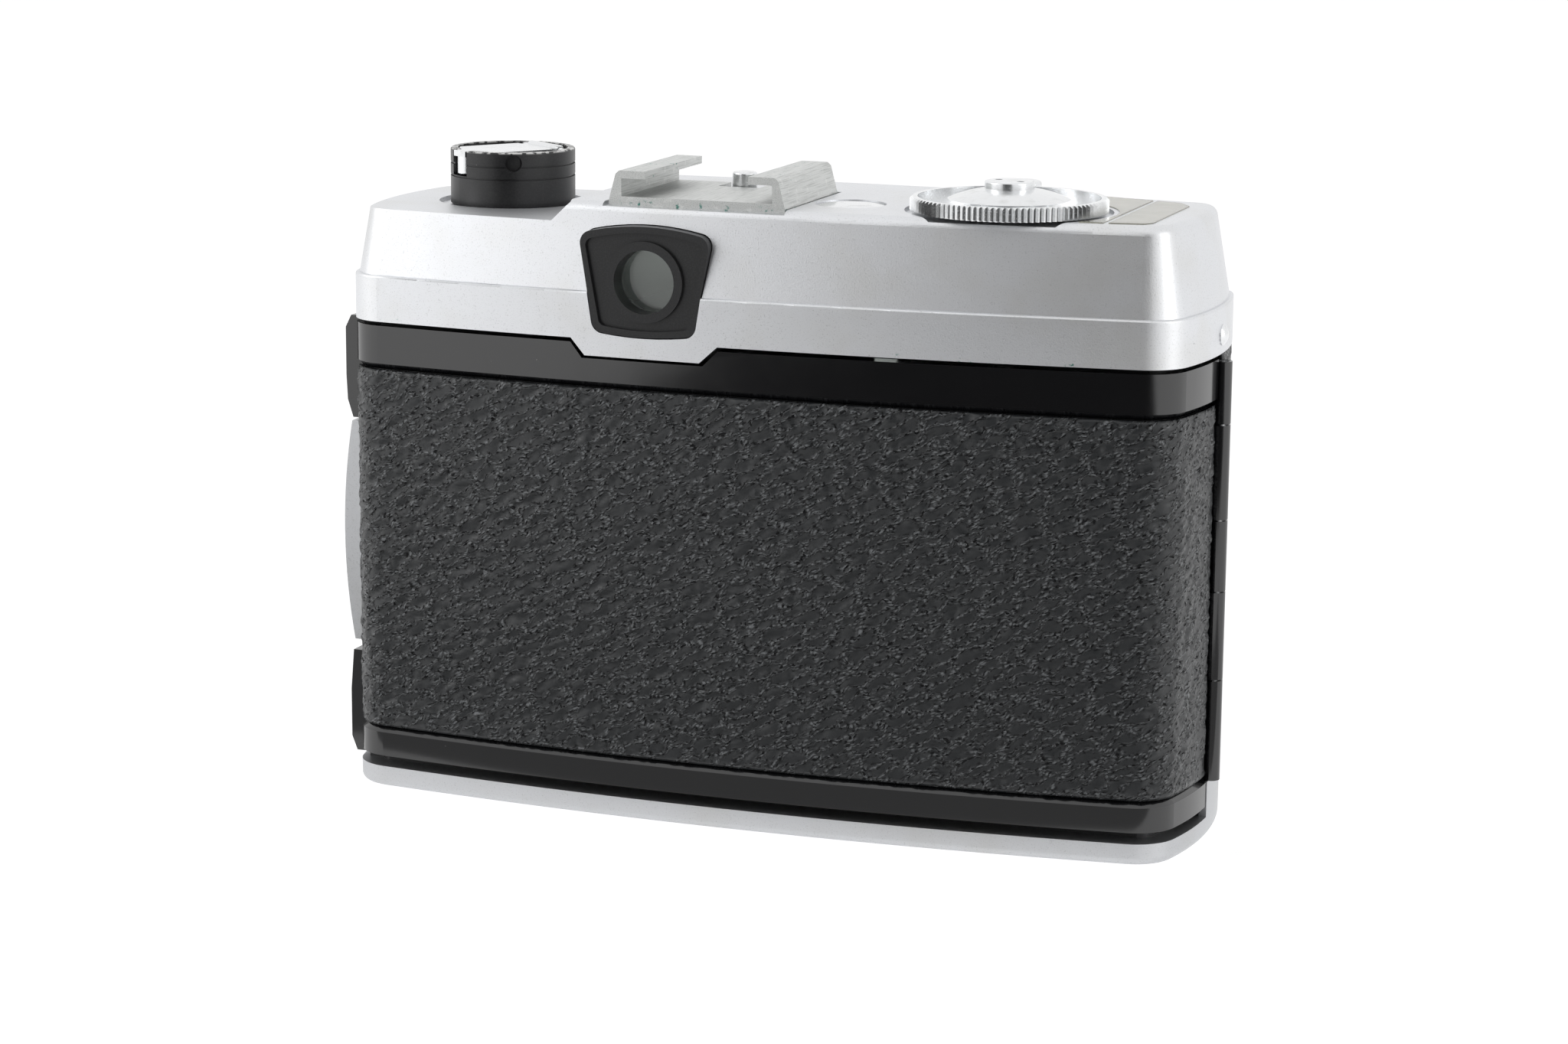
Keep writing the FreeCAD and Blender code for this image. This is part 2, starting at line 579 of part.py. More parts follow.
def cover_solid(inset, step_inset, sink, low):
    """The cover's outside, or its cavity when inset and sunk: step, tapered upper part, two decks."""
    flange = slab(inset, (D["cover_bottom"] - low, D["cover_step"] - sink * 0.3))
    tall = slab(step_inset, (D["cover_step"] - 1, D["cover_top"] - sink), D["cover_taper"])
    short = slab(step_inset, (D["cover_step"] - 1, D["low_deck"] - sink), D["cover_taper"])
    if not low:
        tall = rounded(tall, number(D["deck_round"]), at_height(D["cover_top"]))
        short = rounded(short, number(D["deck_round"]), at_height(D["low_deck"]))
        flange = rounded(flange, 0.3, at_height(D["cover_step"]))
    ramp = prism("XZ", -DEEP, DEEP * 2,
                 ((RAMP_FOOT, D["low_deck"] - sink), (WIDE, D["low_deck"] - sink),
                  (WIDE, WIDE), (RAMP_HEAD, WIDE), (RAMP_HEAD, D["cover_top"] - sink - 0.3)))
    return fuse(flange, cut(tall, ramp), short)


def eye_outline(grow, start, stop):
    """Rounded trapezoid behind the eyepiece, crowned at head and foot."""
    x = number(D["eye_x"])
    half_top, half_foot = number(D["eye_top_half"]) + grow, number(D["eye_foot_half"]) + grow
    head, foot = number(D["eye_z"]) + 5.4 + grow, number(D["eye_z"]) - 6.0 - grow
    corners = [Vector(x - half_top, start, head), Vector(x + half_top, start, head),
               Vector(x + half_foot, start, foot), Vector(x - half_foot, start, foot)]
    crown = Part.Arc(corners[0], Vector(x, start, head + 1.1), corners[1]).toShape()
    base = Part.Arc(corners[2], Vector(x, start, foot - 0.5), corners[3]).toShape()
    sides = [Part.makeLine(corners[1], corners[2]), Part.makeLine(corners[3], corners[0])]
    face = Part.Face(Part.Wire([crown, sides[0], base, sides[1]]))
    solid = face.extrude(Vector(0, stop - start, 0))
    upright_edges = [e for e in solid.Edges if abs(e.BoundBox.YLength - abs(stop - start)) < 1e-6
                     and e.BoundBox.XLength < 1e-6]
    feature = doc.addObject("Part::Feature", "trapezoid")
    feature.Shape = solid.makeFillet(1.5 + grow * 0.8, upright_edges)
    return feature


WINDOW_OUTER = ((-42.3, 11.9), (-46.2, 11.2), (-47.0, 10.0), (-47.0, -7.0), (-45.4, -9.6), (-42.3, -10.6))
WINDOW_INNER = ((-41.7, 12.0), (-36.9, 12.4), (-33.0, 0.0), (-34.8, -12.6), (-41.7, -10.8))
WINDOW_PROUD = 0.12


def window_prism(outline, z, well):
    """A deck window; its side next to the wheel follows the wheel's well."""
    shape = prism("XY", z[0], Size.of(z[1]) - z[0],
                  [(x, y) for x, y in reversed(outline)])
    if well:
        shape = cut(shape, upright(D["wheel_x"], D["wheel_y"], (60, 90), D["well_radius"] + 0.6))
    return shape


FRONT_WINDOWS = {"finder_front": (11.65, 6.6, 4.4), "frame_light": (-5.5, 4.6, 3.6)}


def make_cover():
    """Pressed top cover with every opening that the parts above and behind it need."""
    outside = cover_solid(0.0, D["step_inset"], 0.0, 0)
    cavity = cover_solid(D["cover_wall"], D["step_inset"] + D["cover_wall"], D["deck_wall"], 5)
    band = cut(slab(0.0, (DIP, D["cover_bottom"] + 0.2)), slab(D["cover_wall"], (0, 80)))
    tab = prism("XZ", -(HALF_DEPTH + 2), 6, tongue_outline(0, D["cover_bottom"] + 0.2, DIP))
    tongue = common(band, tab)
    cover = fuse(cut(outside, cavity), tongue)
    shoe_side = D["shoe_outer"] / 2 + 0.4
    cuts = [box((D["shoe_x"] - shoe_side, D["shoe_x"] + shoe_side),
                (D["shoe_rear"] - D["shoe_length"] - 0.4, DEEP), (D["cover_top"] - D["shoe_sink"], 90)),
            upright(D["wheel_x"], D["wheel_y"], (D["wheel_bottom"] - 0.55, 90), D["well_radius"]),
            upright(D["wheel_x"], D["wheel_y"], (60, 90), 1.5 + D["run_gap"]),
            upright(D["knob_x"], D["knob_y"], (D["low_deck"] - 0.5, 90), D["knob_dish"]),
            upright(D["knob_x"], D["knob_y"], (60, 90), D["sleeve_radius"] + D["run_gap"]),
            upright(D["button_x"], D["button_y"], (60, 90), D["button_radius"] + D["run_gap"]),
            upright(D["release_x"], D["release_y"], (60, 90), D["collar_radius"]),
            window_prism(WINDOW_OUTER, (68, 76), False),
            window_prism(WINDOW_INNER, (68, 76), True),
            eye_outline(0.1, 10.0, 24.0)]
    for x, half, tall in FRONT_WINDOWS.values():
        cuts.append(box((x - half, x + half), (-DEEP, -10), (D["eye_z"] - tall, D["eye_z"] + tall)))
    for side, y, height in RIVETS:
        cuts.append(rivet(side, y, height))
    node("top_cover", cut(cover, *cuts))
    levels = (D["cover_top"] - D["cover_wall"], D["cover_top"] + WINDOW_PROUD)
    node("counter_window", window_prism(WINDOW_OUTER, levels, False))
    node("scale_window", window_prism(WINDOW_INNER, levels, True))
    for index, (side, y, height) in enumerate(RIVETS, start=1):
        node(f"end_rivet_{index}", rivet(side, y, height))


RIVETS = ((-1, -0.1, 60.0), (1, 8.4, 59.4))


def rivet(side, y, height):
    """Domed rivet head through the end wall of the cover."""
    surface = number(HALF_WIDTH - D["end_radius"]) + math.sqrt(number(D["end_radius"]) ** 2 - y ** 2)
    ends = sorted((side * (surface - 1.5), side * (surface + 2)))
    return common(across(ends, y, height, 1.25), ball(side * (surface - 0.9), y, height, 1.6))


# ---- finder ----------------------------------------------------------------------------------
def make_finder():
    """Eyepiece with its ring and lens, the sight tube, and the two front windows."""
    face = D["eye_face"]
    frame = eye_outline(0.0, 14.6, number(face))
    dish = eye_outline(-0.75, number(face) - 0.45, 24.0)
    hole = lying(D["eye_x"], (24, 10), D["eye_z"], D["eye_ring"])
    node("eyepiece_frame", cut(frame, dish, hole))
    node("eyepiece_ring", ring(D["eye_x"], (face, 14.2), D["eye_z"], D["eye_ring"], D["eye_glass"]))
    node("eyepiece_lens", lying(D["eye_x"], (face - 2.5, 14.2), D["eye_z"], D["eye_glass"]))
    tube_x = (D["eye_x"] - 6, D["eye_x"] + 6)
    tube_z = (D["eye_z"] - 4.6, D["eye_z"] + 4.6)
    outer = box(tube_x, (-13.5, 14.1), tube_z)
    inner = box((D["eye_x"] - 5.3, D["eye_x"] + 5.3), (-20, 20), (D["eye_z"] - 3.9, D["eye_z"] + 3.9))
    node("finder_tube", cut(outer, inner))
    for name, (x, half, tall) in FRONT_WINDOWS.items():
        z = (D["eye_z"] - tall, D["eye_z"] + tall)
        bezel = box((x - half, x + half), (-(HALF_DEPTH + 0.6), -(HALF_DEPTH - 4)), z)
        bezel = rounded(bezel, 1.0, lambda e: e.BoundBox.YLength > 4)
        opening = box((x - half + 0.9, x + half - 0.9), (-DEEP, 0),
                      (D["eye_z"] - tall + 0.9, D["eye_z"] + tall - 0.9))
        node(name + "_bezel", cut(bezel, opening))
        node(name + "_window", box((x - half + 0.9, x + half - 0.9),
                                   (-(HALF_DEPTH - 0.6), -(HALF_DEPTH - 1.8)),
                                   (D["eye_z"] - tall + 0.9, D["eye_z"] + tall - 0.9)))


# ---- accessory shoe --------------------------------------------------------------------------
def make_shoe():
    """Extruded accessory shoe with inward lips, and the round pin in its front cut-out."""
    floor = D["cover_top"] - D["shoe_sink"]
    seat = floor + D["shoe_floor"]
    under = seat + D["shoe_channel"]
    top = under + D["shoe_lip"]
    outer, inner, mouth = D["shoe_outer"] / 2, D["shoe_inner"] / 2, D["shoe_mouth"] / 2
    half = ((outer, floor), (outer, floor + 0.5), (outer - 0.85, top - 0.4), (outer - 1.3, top),
            (mouth, top), (mouth, under), (inner, under), (inner, seat))
    outline = [(D["shoe_x"] + x, z) for x, z in half] + [(D["shoe_x"] - x, z) for x, z in reversed(half)]
    front = D["shoe_rear"] - D["shoe_length"]
    rail = prism("XZ", -D["shoe_rear"], D["shoe_length"], outline)
    slot = box((D["shoe_x"] - 2.6, D["shoe_x"] + 2.6), (front - 1, front + 4.4), (floor - 1, seat + 1))
    node("accessory_shoe", cut(rail, slot))
    pin = upright(D["shoe_x"], front + 2.3, (floor, seat + 1.65), 1.5)
    node("shoe_pin", rounded(pin, 0.3, at_height(seat + 1.65)))


# ---- rewind knob -----------------------------------------------------------------------------
PIVOT_HEIGHT = -0.45
ARM_THICK = 0.7


def make_rewind():
    """Black knob on a sliding sleeve, with a folding crank whose grip drops into a rim notch."""
    spot = (D["knob_x"], D["knob_y"], 0)
    turned = Rotation(Vector(0, 0, 1), number(D["knob_turn"]))
    foot, top = D["low_deck"] - 0.2, D["knob_top"]
    pivot_z = top + PIVOT_HEIGHT
    arm = (pivot_z - ARM_THICK / 2, pivot_z + ARM_THICK / 2)
    grip_x = D["knob_radius"] - D["grip_radius"] - 0.05

    drum = rounded(upright(0, 0, (foot, top), D["knob_radius"]), 0.25, at_height(top))
    grooves = []
    for level in (top - 1.75, top - 3.25):
        grooves.append(tube(0, 0, (level - 0.12, level + 0.12),
                            D["knob_radius"] + 1, D["knob_radius"] - 0.22))
    side_hole = across((0, D["knob_radius"] + 2), 0, top - 1.25, 1.0)
    aim = Rotation(Vector(0, 0, 1), 60) * ALONG_X
    side_hole.Placement = Placement(Vector(0, 0, number(top) - 1.25), aim)
    keep = upright(0, 0, (60, 90), D["knob_radius"] - 0.6)
    drum = cut(drum, upright(0, 0, (arm[0] - 0.75, top + 1), D["crank_radius"] + 0.2),
               box((grip_x - D["grip_radius"] - 0.25, 20),
                   (-D["grip_radius"] - 0.25, D["grip_radius"] + 0.25), (top - 3.1, top + 1)),
               cut(side_hole, keep), *grooves)
    pin = lying(D["crank_pivot"], (5.4, -5.4), pivot_z, 0.35)
    drum = cut(drum, pin, upright(0, 0, (60, top - 2.2), D["shaft_radius"]))
    node("rewind_knob", place(drum, *spot, turned))
    node("crank_pin", place(fuse(lying(D["crank_pivot"], (5.4, 0), pivot_z, 0.35),
                              lying(D["crank_pivot"], (0, -5.4), pivot_z, 0.35)), *spot, turned))

    disc = common(upright(0, 0, arm, D["crank_radius"]),
                  box((D["crank_pivot"], 10), (D["crank_width"] / -2, D["crank_width"] / 2), (60, 90)))
    root = D["crank_width"] / 2 - 0.9
    corners = [box((-D["knob_radius"], D["crank_pivot"] + 1.4), sides, (60, 90))
               for sides in ((root, D["knob_radius"]), (-D["knob_radius"], -root))]
    disc = cut(disc, *corners)
    tongue = box((4, D["knob_radius"] - 0.1), (-D["grip_radius"], D["grip_radius"]), arm)
    knuckle = lying(D["crank_pivot"], (root, -root), pivot_z, 0.7)
    bore = lying(D["crank_pivot"], (6, -6), pivot_z, 0.35 + D["run_gap"])
    node("crank_arm", place(cut(fuse(disc, tongue, knuckle), bore), *spot, turned))
    grip = upright(grip_x, 0, (top - 2.95, arm[0]), D["grip_radius"])
    node("crank_grip", place(rounded(grip, 0.2, at_height(top - 2.95)), *spot, turned))

    fork = cut(upright(0, 0, (47, 53.5), FORK_RADIUS), box((-1.1, 1.1), (-5, 5), (46, 50.5)))
    shaft = fuse(upright(0, 0, (51, top - 2.2), D["shaft_radius"]), fork)
    node("rewind_shaft", place(shaft, *spot))
    node("rewind_sleeve", place(tube(0, 0, (54.2, foot - 0.1), D["sleeve_radius"],
                                     D["shaft_radius"] + D["run_gap"]), *spot))


# ---- film advance ----------------------------------------------------------------------------
def toothed_disc(radius, teeth, depth, z):
    """A disc with fine triangular teeth all round."""
    points = []
    for index in range(2 * teeth):
        reach = radius - (depth if index % 2 else 0.0)
        turn = math.pi * index / teeth
        points.append(Vector(reach * math.cos(turn), reach * math.sin(turn), z[0]))
    face = Part.Face(Part.makePolygon(points + points[:1]))
    feature = doc.addObject("Part::Feature", "toothed")
    feature.Shape = face.extrude(Vector(0, 0, z[1] - z[0]))
    return feature


def make_advance():
    """Thumb wheel over the film sprocket, its domed cap and nut, take-up spool and counter disc."""
    spot = (D["wheel_x"], D["wheel_y"], 0)
    low, high = number(D["wheel_bottom"]), number(D["wheel_top"])
    disc = toothed_disc(number(D["wheel_radius"]), int(number(D["wheel_teeth"])), 0.42, (low, high))
    crown = frustum(0, 0, (D["wheel_bottom"], D["wheel_top"]),
                    D["wheel_radius"] + 1.35, D["wheel_radius"] - 0.25)
    well = upright(0, 0, (D["wheel_top"] - 1.1, 90), D["wheel_radius"] - D["wheel_rim"])
    floor = D["wheel_top"] - 1.1
    post = upright(0, 0, (61, floor + 0.5), 1.5)
    node("advance_wheel", place(fuse(cut(common(disc, crown), well), post), *spot))
    edge = D["wheel_top"] - 0.25
    dome = common(ball(0, 0, edge + 1.45 - 18.4, 18.4), upright(0, 0, (edge, 90), D["cap_radius"]))
    neck = upright(0, 0, (floor, edge + 0.2), 4.6)
    node("wheel_cap", place(cut(fuse(dome, neck), upright(0, 0, (60, floor + 0.5), 1.5),
                                upright(0, 0, (edge + 1.2, 90), 2.9)), *spot))
    nut = rounded(upright(0, 0, (edge + 1.2, edge + 2.1), 2.9), 0.2, at_height(edge + 2.1))
    pin_holes = [upright(x, 0, (edge + 1.7, 90), 0.42) for x in (-1.6, 1.6)]
    turned = Rotation(Vector(0, 0, 1), -22)
    node("wheel_nut", place(cut(nut, *pin_holes), *spot, turned))

    rows = []
    for z in (D["axis_height"] - 15.8, D["axis_height"] + 12.8):
        rows.append(upright(0, 0, (z, z + 3), D["sprocket_radius"]))
        for index in range(8):
            tooth = box((D["sprocket_radius"] - 0.6, D["sprocket_radius"] + 0.9), (-0.75, 0.75),
                        (z + 0.8, z + 2.2))
            turn = Rotation(Vector(0, 0, 1), 45 * index)
            tooth.Placement = Placement(Vector(), turn) * tooth.Placement
            tooth.setExpression("Placement.Base.x", None)
            tooth.setExpression("Placement.Base.y", None)
            tooth.setExpression("Placement.Base.z", (z + 0.8).text)
            rows.append(tooth)
    core = upright(0, 0, (D["chamber_bottom"] + 0.4, D["chamber_top"] - 0.4), 3.6)
    axle = upright(0, 0, (4.7, 60.9), 1.5)
    node("sprocket", place(fuse(core, axle, *rows), *spot))

    spool_spot = (D["spool_x"], D["spool_y"], 0)
    core = upright(0, 0, (D["chamber_bottom"] + 0.4, D["chamber_top"] - 0.4), 5.0)
    flanges = [upright(0, 0, (z, z + 0.8), D["spool_radius"])
               for z in (D["chamber_bottom"] + 0.4, D["chamber_top"] - 1.2)]
    axle = upright(0, 0, (4.7, 61), 1.5)
    slots = []
    for turn in (0, 120, 240):
        slot = box((3.2, 8), (-0.6, 0.6), (D["axis_height"] - 14, D["axis_height"] + 14))
        slot.Placement = Placement(Vector(), Rotation(Vector(0, 0, 1), turn)) * slot.Placement
        slot.setExpression("Placement.Base.x", None)
        slot.setExpression("Placement.Base.y", None)
        slots.append(slot)
    node("take_up_spool", place(cut(fuse(core, axle, *flanges), *slots), *spool_spot))
    dial = fuse(upright(0, 0, (70.2, 71.0), 4.9), upright(0, 0, (66.5, 70.4), 1.4))
    node("counter_disc", place(dial, COUNTER_X, COUNTER_Y, 0))


# ---- buttons ---------------------------------------------------------------------------------
def make_buttons():
    """Flush rewind button, shutter button in its collar, and the shutter spring."""
    deck = D["cover_top"]
    head = upright(0, 0, (deck - 1.2, deck + 0.15), D["button_radius"])
    dome = common(head, ball(0, 0, deck + 0.15 - 24.0, 24.0))
    stem = upright(0, 0, (64, deck - 1.0), 1.6)
    node("rewind_button", place(fuse(dome, stem), D["button_x"], D["button_y"], 0))

    spot = (D["release_x"], D["release_y"], 0)
    collar = tube(0, 0, (deck - 3.4, deck + 0.45), D["collar_radius"], D["release_radius"] + D["run_gap"])
    node("shutter_collar", place(rounded(collar, 0.25, at_height(deck + 0.45)), *spot))
    cap = upright(0, 0, (deck - 1.6, deck + 1.75), D["release_radius"])
    cap = rounded(cap, 0.45, at_height(deck + 1.75))
    stem = upright(0, 0, (61, deck - 1.5), 1.1)
    thread = fuse(upright(0, 0, (deck - 1.2, 90), 0.9), frustum(0, 0, (deck + 1.1, deck + 1.76), 0.9, 1.4))
    node("shutter_button", place(cut(fuse(cap, stem), thread), *spot))
    node("shutter_spring", place(tube(0, 0, (66, deck - 1.6), 1.9, 1.3), *spot))


# ---- lens ------------------------------------------------------------------------------------
def gripped_ring(y, outer, inner, flutes, flute_radius):
    """A control ring along Y with scooped grips round it."""
    start, stop = number(y[0]), number(y[1])
    solid = Part.makeCylinder(number(outer), start - stop, Vector(0, start, 0), Vector(0, -1, 0))
    bore = Part.makeCylinder(number(inner), start - stop + 2, Vector(0, start + 1, 0), Vector(0, -1, 0))
    solid = solid.cut(bore)
    scoops = []
    for index in range(flutes):
        turn = 2 * math.pi * index / flutes
        reach = number(outer) + flute_radius * 0.72
        spot = Vector(reach * math.cos(turn), start - 0.8, reach * math.sin(turn))
        scoops.append(Part.makeCylinder(flute_radius, start - stop - 1.6, spot, Vector(0, -1, 0)))
    feature = doc.addObject("Part::Feature", "ring")
    feature.Shape = solid.cut(scoops)
    return place(feature, 0, 0, D["axis_height"])


def meniscus(y, radius, bow_front, bow_back):
    """A lens element along Y, bowed on both faces by spheres."""
    blank = lying(0, y, D["axis_height"], radius)
    front = ball(0, Size.of(y[1]) + bow_front, D["axis_height"], bow_front)
    back = ball(0, Size.of(y[0]) - bow_back, D["axis_height"], bow_back)
    return common(blank, front, back)


def make_lens():
    """Fixed lens: mount ring, shutter housing, three control rings and the focusing barrel."""
    z = D["axis_height"]
    gap = D["run_gap"]
    front = -HALF_DEPTH + D["cast_inset"]
    mount = ring(0, (front, D["mount_front"]), z, D["mount_radius"], D["core_radius"])
    node("lens_mount_ring", rounded(mount, 0.5, at_depth(D["mount_front"])))
    core = ring(0, (HOUSING_BACK, D["aperture_front"]), z, D["core_radius"], D["barrel_radius"] + gap)
    plate = ring(0, (-11.0, -14.0), z, D["core_radius"] - 1.2, 11.0)
    node("shutter_housing", fuse(core, plate))
    node("speed_ring", gripped_ring((D["mount_front"] - 0.15, D["speed_front"]), D["speed_radius"],
                                    D["core_radius"] + gap, 60, 0.9))
    node("aperture_ring", gripped_ring((D["speed_front"] - 0.25, D["aperture_front"]), D["aperture_radius"],
                                       D["core_radius"] + gap, 40, 1.2))
    node("focus_ring", gripped_ring((D["aperture_front"] - 0.25, D["focus_front"]), D["focus_radius"],
                                    D["barrel_radius"] + gap, 24, 2.6))
    bell = ring(0, (D["focus_front"] - 0.3, D["bell_front"]), z, D["bell_radius"], D["cell_radius"])
    seat = D["bell_front"] + D["filter_depth"]
    bell = cut(bell, lying(0, (seat, D["bell_front"] - 1), z, D["filter_radius"]),
               lying(0, (seat + 0.5, seat - 0.1), z, D["filter_radius"] + 0.4))
    step = ring(0, (D["focus_front"] - 0.3, D["focus_front"] - 1.5), z, D["filter_radius"] + 0.5, 13.0)
    sleeve = ring(0, (-20.0, D["focus_front"] - 1.0), z, D["barrel_radius"], D["barrel_radius"] - 1.6)
    node("lens_barrel", fuse(bell, step, sleeve))
    node("front_element", meniscus((D["focus_front"] - 0.3, D["focus_front"] - 2.9), 12.4, 60.0, 200.0))
    trim = ring(0, (D["focus_front"] - 1.5, seat + 0.2), z, D["cell_radius"], 12.4)
    cell = ring(0, (-22.0, D["focus_front"] - 0.3), z, 13.0, 12.0)
    neck = ring(0, (D["focus_front"] - 0.3, D["focus_front"] - 1.5), z, 13.0, 12.4)
    foot = ring(0, (-22.0, -24.0), z, D["barrel_radius"] - 1.6, 12.0)
    node("front_cell", fuse(cell, neck, foot, trim))
    node("aperture_blades", ring(0, (-18.6, -18.9), z, D["barrel_radius"], 6.5))
    node("shutter_blades", lying(0, (-17.4, -17.8), z, D["barrel_radius"]))
    node("rear_element", meniscus((-11.2, -13.8), 11.0, 60.0, 45.0))


def main():
    make_base()
    make_body()
    make_latch()
    make_door()
    make_cover()
    make_finder()
    make_shoe()
    make_rewind()
    make_advance()
    make_buttons()
    make_lens()
    doc.recompute()
    faults = [f"{item.Label}: {item.State}" for item in doc.Objects
              if any(word in ("Invalid", "Error") for word in item.State)]
    for name, thing in NODES.items():
        shape = getattr(thing, "Shape", None)
        if shape is None or shape.isNull() or not shape.isValid() or not shape.Solids:
            faults.append(f"{name}: no valid solid")
        elif len(shape.Solids) != 1:
            print(f"note: {name} holds {len(shape.Solids)} solids")
    if faults:
        raise RuntimeError("; ".join(faults))
    os.makedirs("parts", exist_ok=True)
    for name, thing in NODES.items():
        thing.Shape.exportStep(f"parts/{name}.step")
    print(len(NODES), "sub-parts written")


main()
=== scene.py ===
"""Compact 35 mm film camera: finishes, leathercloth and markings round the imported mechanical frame.

Metres, +Z up, the back of the camera faces +Y and its lens looks along -Y.
"""
import math

import bmesh
import bpy
from mathutils import Matrix, Vector, noise


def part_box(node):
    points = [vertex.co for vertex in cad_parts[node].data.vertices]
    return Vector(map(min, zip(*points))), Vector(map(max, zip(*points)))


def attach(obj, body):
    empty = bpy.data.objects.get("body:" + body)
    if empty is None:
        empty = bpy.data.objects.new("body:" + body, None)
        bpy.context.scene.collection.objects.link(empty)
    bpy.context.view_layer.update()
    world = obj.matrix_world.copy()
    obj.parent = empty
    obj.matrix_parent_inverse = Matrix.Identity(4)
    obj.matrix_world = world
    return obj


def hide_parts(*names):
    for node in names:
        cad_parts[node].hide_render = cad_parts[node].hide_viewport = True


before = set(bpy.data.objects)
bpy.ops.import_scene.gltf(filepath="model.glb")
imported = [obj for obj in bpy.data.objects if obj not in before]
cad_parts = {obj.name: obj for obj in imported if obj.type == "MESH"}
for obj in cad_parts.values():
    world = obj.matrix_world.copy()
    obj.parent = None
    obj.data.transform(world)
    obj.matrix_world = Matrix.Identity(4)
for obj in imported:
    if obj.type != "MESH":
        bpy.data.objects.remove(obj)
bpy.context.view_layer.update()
MM = 0.001


# ---- viewpoint -------------------------------------------------------------------------------
# A normal lens a good forearm's length behind the camera, a little to its wheel side and above
# it, tilted down so that the top plate just shows.
def make_viewpoint():
    azimuth, pitch, roll = math.radians(19.55), math.radians(11.62), math.radians(0.46)
    back = Vector((-math.sin(azimuth) * math.cos(pitch), math.cos(azimuth) * math.cos(pitch),
                   math.sin(pitch)))
    right = Vector((0, 0, 1)).cross(back).normalized()
    up = back.cross(right)
    level = Matrix((right, up, back)).transposed().to_4x4()
    lens = bpy.data.cameras.new("viewpoint")
    lens.lens, lens.sensor_width = 88.31, 36.0
    lens.clip_start, lens.clip_end = 0.01, 50.0
    viewpoint = bpy.data.objects.new("viewpoint", lens)
    viewpoint.matrix_world = (Matrix.Translation((-0.15219, 0.42958, 0.12766)) @ level
                              @ Matrix.Rotation(roll, 4, "Z"))
    bpy.context.scene.collection.objects.link(viewpoint)
    bpy.context.scene.camera = viewpoint


make_viewpoint()


# ---- finishes in general ---------------------------------------------------------------------
# Every surface below is plated, enamelled, moulded or ground.  Its finish is a Principled shader
# whose colour, roughness and fine relief come from noise in the camera's own millimetres.
class Value:
    """One output of a node; arithmetic on it adds Math nodes to the same finish."""

    def __init__(self, finish, socket):
        self.finish = finish
        self.socket = socket

    def math(self, operation, *values):
        return self.finish.node("ShaderNodeMath", {"operation": operation}, dict(enumerate(values)))

    def __add__(self, other):
        return self.math("ADD", self, other)

    def __radd__(self, other):
        return self.math("ADD", other, self)

    def __sub__(self, other):
        return self.math("SUBTRACT", self, other)

    def __rsub__(self, other):
        return self.math("SUBTRACT", other, self)

    def __mul__(self, other):
        return self.math("MULTIPLY", self, other)

    def __rmul__(self, other):
        return self.math("MULTIPLY", other, self)

    def __truediv__(self, other):
        return self.math("DIVIDE", self, other)

    def __pow__(self, other):
        return self.math("POWER", self, other)

    def __abs__(self):
        return self.math("ABSOLUTE", self)

    def ramp(self, low, high):
        """0 below low, 1 above high, smooth between; low above high turns it round."""
        return self.finish.node("ShaderNodeMapRange", {"interpolation_type": "SMOOTHSTEP"},
                                {"Value": self, "From Min": low, "From Max": high})


class Finish:
    """A material with one Principled shader, and the nodes that feed it."""

    def __init__(self, name, **plain):
        self.material = bpy.data.materials.new(name)
        self.material.use_nodes = True
        self.tree = self.material.node_tree
        self.shader = self.tree.nodes["Principled BSDF"]
        for socket, value in plain.items():
            self.shader.inputs[socket.replace("_", " ")].default_value = value
        self.place = self.node("ShaderNodeTexCoord", out="Object")

    def node(self, kind, settings=(), inputs=(), out=0):
        made = self.tree.nodes.new(kind)
        for key, value in dict(settings).items():
            setattr(made, key, value)
        for key, value in dict(inputs).items():
            if isinstance(value, Value):
                self.tree.links.new(value.socket, made.inputs[key])
            else:
                made.inputs[key].default_value = value
        return Value(self, made.outputs[out])

    def noise(self, size, stretch=(1, 1, 1), detail=2.0, shift=0.0):
        """Cloudy noise from 0 to 1 whose blobs are about size metres across."""
        spot = self.node("ShaderNodeMapping", {},
                         {"Vector": self.place, "Location": (shift, shift, shift),
                          "Scale": [1 / (size * along) for along in stretch]})
        return self.node("ShaderNodeTexNoise", {},
                         {"Vector": spot, "Scale": 1.0, "Detail": detail, "Roughness": 0.55})

    def specks(self, spacing, radius, keep, shift=0.0):
        """Round specks about radius metres across; keep is the share of cells that hold one."""
        spot = self.node("ShaderNodeMapping", {},
                         {"Vector": self.place, "Location": (shift, shift, shift),
                          "Scale": (1 / spacing,) * 3})
        near = self.node("ShaderNodeTexVoronoi", {}, {"Vector": spot, "Scale": 1.0}, "Distance")
        tint = self.node("ShaderNodeTexVoronoi", {}, {"Vector": spot, "Scale": 1.0}, "Color")
        draw = self.node("ShaderNodeSeparateColor", {}, {"Color": tint}, "Red")
        return near.ramp(radius / spacing, 0.3 * radius / spacing) * draw.ramp(keep, keep * 0.8)

    def blend(self, mask, first, second):
        return self.node("ShaderNodeMix", {"data_type": "RGBA"}, {"Factor": mask, 6: first, 7: second}, 2)

    def axis(self, letter):
        return self.node("ShaderNodeSeparateXYZ", {}, {"Vector": self.place}, letter)

    def relief(self, height, depth, strength=1.0):
        bump = self.node("ShaderNodeBump", {},
                         {"Height": height, "Distance": depth, "Strength": strength}, "Normal")
        self.feed("Normal", bump)

    def feed(self, socket, value):
        self.tree.links.new(value.socket, self.shader.inputs[socket])


def paint(finish, *nodes):
    """Gives CAD nodes their finish; their own slots and shapes stay as they are."""
    for name in nodes:
        for material_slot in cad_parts[name].material_slots:
            material_slot.material = finish.material


VERDIGRIS = (0.02, 0.22, 0.17, 1)


